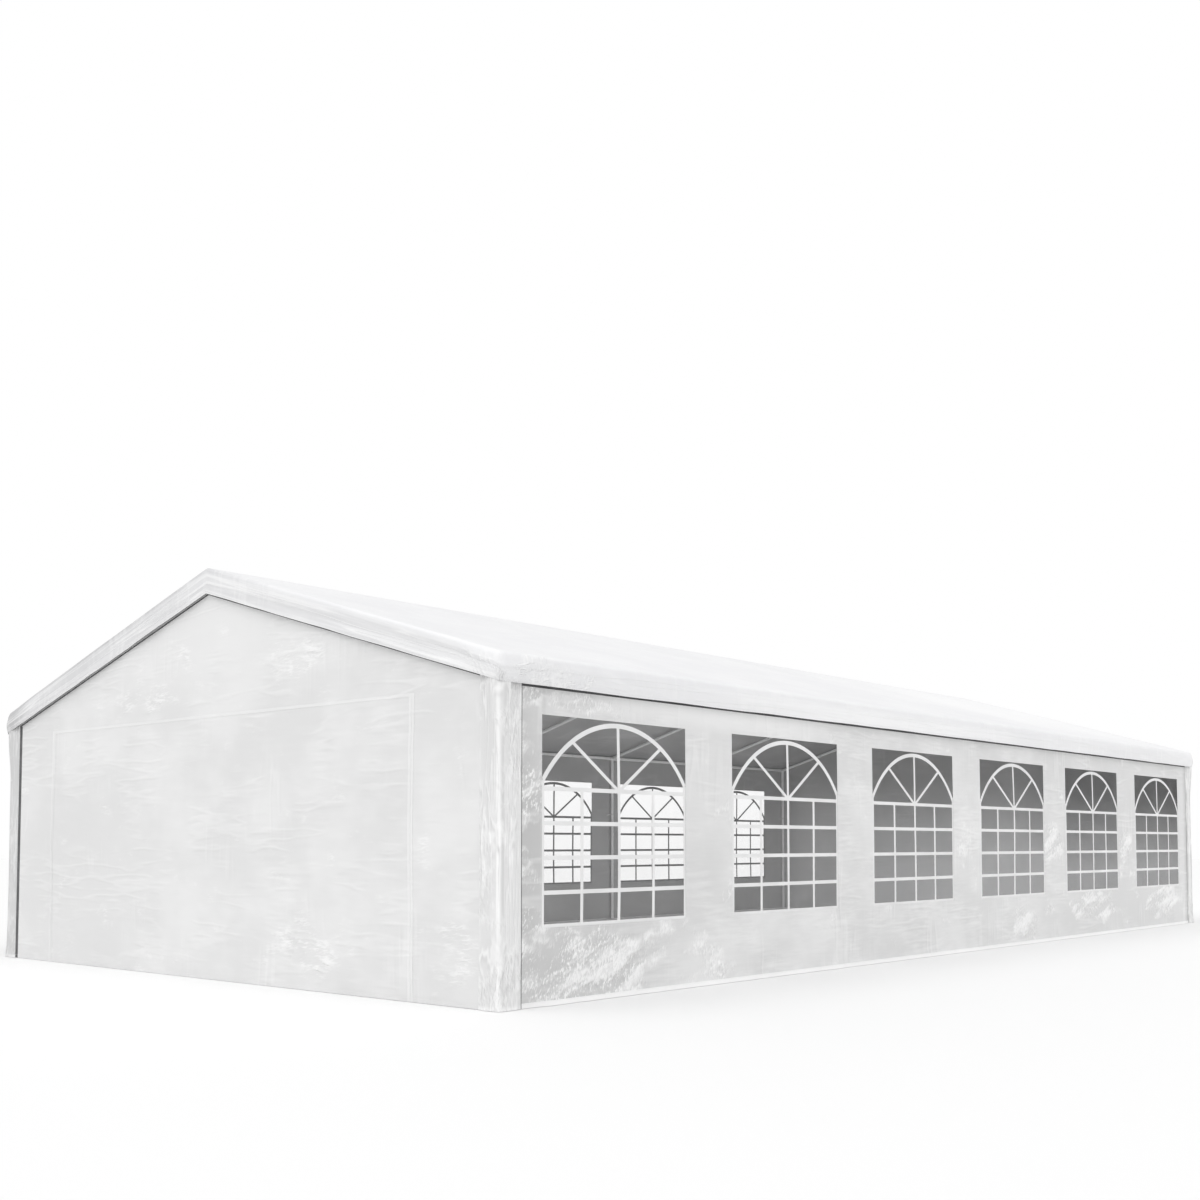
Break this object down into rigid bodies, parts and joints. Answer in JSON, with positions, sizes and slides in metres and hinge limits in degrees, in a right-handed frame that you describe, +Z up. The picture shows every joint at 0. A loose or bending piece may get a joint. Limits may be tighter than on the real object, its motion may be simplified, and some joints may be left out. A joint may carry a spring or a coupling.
{
  "type": "marquee tent",
  "caption": "Long gable-roofed marquee tent of white woven sheet on a steel tube frame, with arched windows along both sides.",
  "frame": {"origin": "on the ground under the middle of the tent", "axes": "+X along the tent, away from the gable shown in the picture; +Y across it, away from the long side shown in the picture; +Z up"},
  "size_m": [12.06, 6.06, 2.972],
  "materials": {
    "frame_tube": "white powder coat",
    "roof_fabric": "coated woven sheet, satin",
    "wall_fabric": "coated woven sheet, creased",
    "corner_fabric": "coated woven sheet, satin",
    "window_film": "clear film"
  },
  "bodies": {
    "root": {"leg_front_1": "frame_tube", "leg_front_2": "frame_tube", "leg_front_3": "frame_tube", "leg_front_4": "frame_tube", "leg_front_5": "frame_tube", "leg_front_6": "frame_tube", "leg_front_7": "frame_tube", "leg_back_1": "frame_tube", "leg_back_2": "frame_tube", "leg_back_3": "frame_tube", "leg_back_4": "frame_tube", "leg_back_5": "frame_tube", "leg_back_6": "frame_tube", "leg_back_7": "frame_tube", "rafter_front_1": "frame_tube", "rafter_front_2": "frame_tube", "rafter_front_3": "frame_tube", "rafter_front_4": "frame_tube", "rafter_front_5": "frame_tube", "rafter_front_6": "frame_tube", "rafter_front_7": "frame_tube", "rafter_back_1": "frame_tube", "rafter_back_2": "frame_tube", "rafter_back_3": "frame_tube", "rafter_back_4": "frame_tube", "rafter_back_5": "frame_tube", "rafter_back_6": "frame_tube", "rafter_back_7": "frame_tube", "eave_rail_front": "frame_tube", "eave_rail_back": "frame_tube", "ridge_rail": "frame_tube", "roof_cover": "roof_fabric", "front_wall": "wall_fabric", "back_wall": "wall_fabric", "left_gable_wall": "wall_fabric", "right_gable_wall": "wall_fabric", "front_window_1": "window_film", "front_window_2": "window_film", "front_window_3": "window_film", "front_window_4": "window_film", "front_window_5": "window_film", "front_window_6": "window_film", "back_window_1": "window_film", "back_window_2": "window_film", "back_window_3": "window_film", "back_window_4": "window_film", "back_window_5": "window_film", "back_window_6": "window_film", "corner_cover_front_left": "corner_fabric", "corner_cover_front_right": "corner_fabric", "corner_cover_back_left": "corner_fabric", "corner_cover_back_right": "corner_fabric"}
  },
  "joints": []
}
